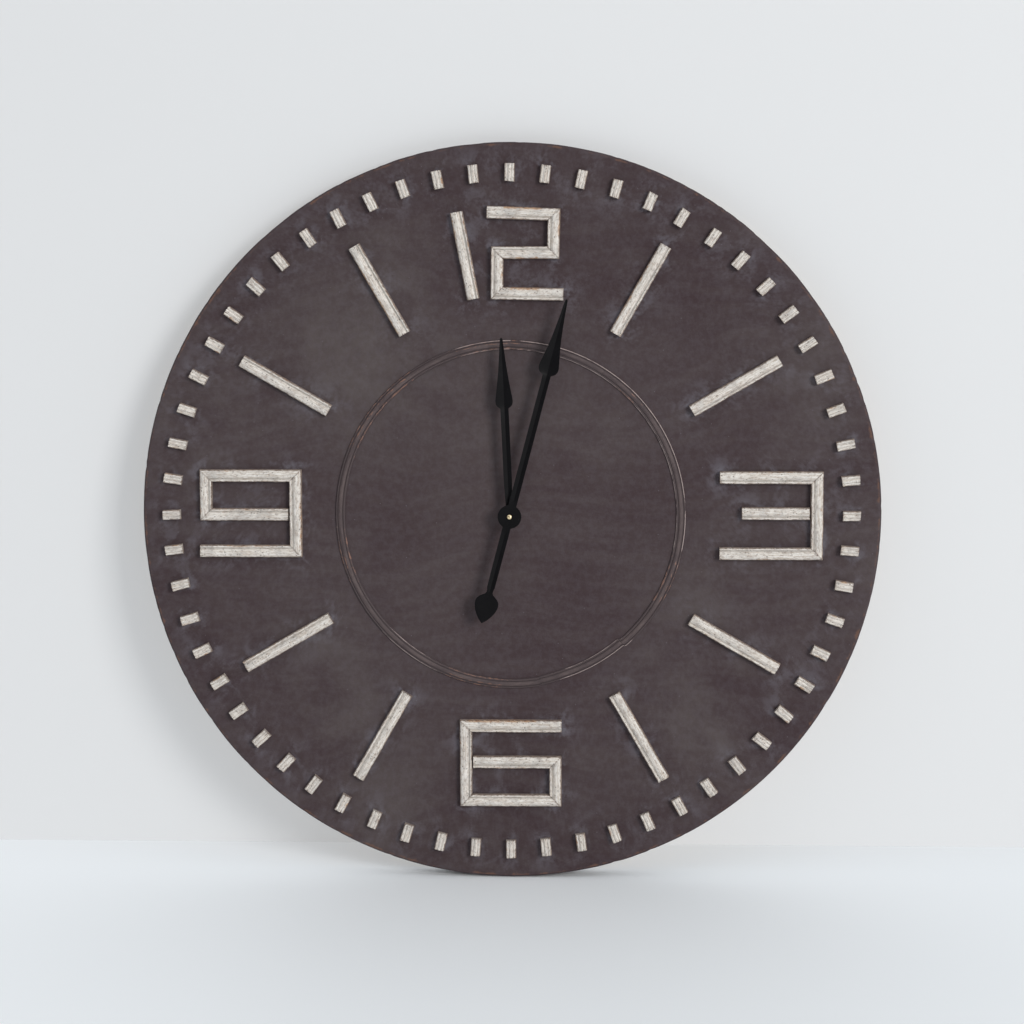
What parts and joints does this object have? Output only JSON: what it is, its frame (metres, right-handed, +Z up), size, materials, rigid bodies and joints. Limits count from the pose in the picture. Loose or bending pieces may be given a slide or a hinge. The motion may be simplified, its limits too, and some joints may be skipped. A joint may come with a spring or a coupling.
{
  "type": "wall clock",
  "caption": "Large round wall clock: dark painted wooden face with raised wooden strip numerals and hour bars, two black hands and a battery movement behind.",
  "frame": {"origin": "in the plane of the wall, behind the top end of the keyhole's slot, where the shank of the hanging screw carries the clock", "axes": "+Z up, the face looks towards -Y, +X is to the viewer's right, +Y goes into the wall"},
  "size_m": [1, 0.0604, 1],
  "materials": {
    "face_paint": "dark brown-grey chalk paint on board, rubbed and cloudy",
    "bead_paint": "the same chalk paint on bent moulding, worn to a copper-brown on the crown",
    "strip_paint": "cream chalk paint on wooden moulding, edges worn through to orange-brown wood",
    "bare_wood": "plain sanded softwood",
    "hand_black": "satin black paint on sheet metal",
    "brass": "turned brass",
    "zinc_steel": "zinc-plated steel",
    "case_plastic": "moulded black plastic, fine spark texture",
    "gear_plastic": "moulded natural acetal",
    "copper_wire": "wound enamelled copper wire",
    "circuit_board": "green circuit board",
    "cell_sleeve": "plain printed sleeve over steel"
  },
  "bodies": {
    "clock_case": {"dial_panel": "face_paint", "rim_ring_frame": "bare_wood", "upper_back_rail": "bare_wood", "lower_back_rail": "bare_wood", "keyhole_hanger": "zinc_steel", "hanger_screw_lower": "zinc_steel", "hanger_screw_upper": "zinc_steel", "dial_washer": "brass", "fixing_nut": "brass", "movement_case_front": "case_plastic", "movement_case_cover": "case_plastic", "stator": "zinc_steel", "coil": "copper_wire", "circuit_board": "circuit_board", "battery_cell": "cell_sleeve", "battery_contact_positive": "zinc_steel", "battery_contact_negative": "zinc_steel", "bead_length_1": "bead_paint", "bead_length_2": "bead_paint", "bead_length_3": "bead_paint", "bead_length_4": "bead_paint", "hour_bar_1": "strip_paint", "hour_bar_2": "strip_paint", "hour_bar_4": "strip_paint", "hour_bar_5": "strip_paint", "hour_bar_7": "strip_paint", "hour_bar_8": "strip_paint", "hour_bar_10": "strip_paint", "hour_bar_11": "strip_paint", "three_top": "strip_paint", "three_upright": "strip_paint", "three_bottom": "strip_paint", "three_middle": "strip_paint", "six_top": "strip_paint", "six_left_upright": "strip_paint", "six_bottom": "strip_paint", "six_right_upright": "strip_paint", "six_middle": "strip_paint", "nine_bottom": "strip_paint", "nine_right_upright": "strip_paint", "nine_top": "strip_paint", "nine_left_upright": "strip_paint", "nine_middle": "strip_paint", "two_top": "strip_paint", "two_right_upright": "strip_paint", "two_middle": "strip_paint", "two_left_upright": "strip_paint", "two_bottom": "strip_paint", "one_strip": "strip_paint"},
    "minute_arbor": {"minute_hand": "hand_black", "hand_nut": "brass", "centre_wheel": "gear_plastic"},
    "hour_pipe": {"hour_hand": "hand_black", "hour_wheel": "gear_plastic"},
    "minute_wheel": {"minute_wheel": "gear_plastic"},
    "third_wheel": {"third_wheel": "gear_plastic"},
    "seconds_wheel": {"seconds_wheel": "gear_plastic"},
    "intermediate_wheel": {"intermediate_wheel": "gear_plastic"},
    "rotor": {"rotor": "gear_plastic"},
    "setting_knob": {"setting_knob": "gear_plastic"}
  },
  "joints": [
    {"name": "minute_hand_turn", "type": "hinge", "parent": "clock_case", "child": "minute_arbor", "pos_m": [0, 0, -0.3], "axis": [0, 1, 0], "continuous": true},
    {"name": "hour_hand_turn", "type": "hinge", "parent": "clock_case", "child": "hour_pipe", "pos_m": [0, 0, -0.3], "axis": [0, 1, 0], "continuous": true},
    {"name": "minute_wheel_turn", "type": "hinge", "parent": "clock_case", "child": "minute_wheel", "pos_m": [0.0096, 0, -0.3], "axis": [0, 1, 0], "continuous": true},
    {"name": "setting_knob_turn", "type": "hinge", "parent": "clock_case", "child": "setting_knob", "pos_m": [0.01862, 0, -0.30328], "axis": [0, 1, 0], "continuous": true},
    {"name": "third_wheel_turn", "type": "hinge", "parent": "clock_case", "child": "third_wheel", "pos_m": [-0.00827, 0, -0.29306], "axis": [0, 1, 0], "continuous": true},
    {"name": "seconds_wheel_turn", "type": "hinge", "parent": "clock_case", "child": "seconds_wheel", "pos_m": [-0.00317, 0, -0.28422], "axis": [0, 1, 0], "continuous": true},
    {"name": "intermediate_wheel_turn", "type": "hinge", "parent": "clock_case", "child": "intermediate_wheel", "pos_m": [0.00403, 0, -0.28422], "axis": [0, 1, 0], "continuous": true},
    {"name": "rotor_turn", "type": "hinge", "parent": "clock_case", "child": "rotor", "pos_m": [0.0106, 0, -0.28662], "axis": [0, 1, 0], "continuous": true}
  ],
  "couplings": [
    {"joint": "hour_hand_turn", "follows": "minute_hand_turn", "ratio": 0.083333},
    {"joint": "minute_wheel_turn", "follows": "minute_hand_turn", "ratio": -0.33333},
    {"joint": "setting_knob_turn", "follows": "minute_hand_turn", "ratio": 1},
    {"joint": "third_wheel_turn", "follows": "minute_hand_turn", "ratio": -8},
    {"joint": "seconds_wheel_turn", "follows": "minute_hand_turn", "ratio": 60},
    {"joint": "intermediate_wheel_turn", "follows": "minute_hand_turn", "ratio": -300},
    {"joint": "rotor_turn", "follows": "minute_hand_turn", "ratio": 1800}
  ]
}
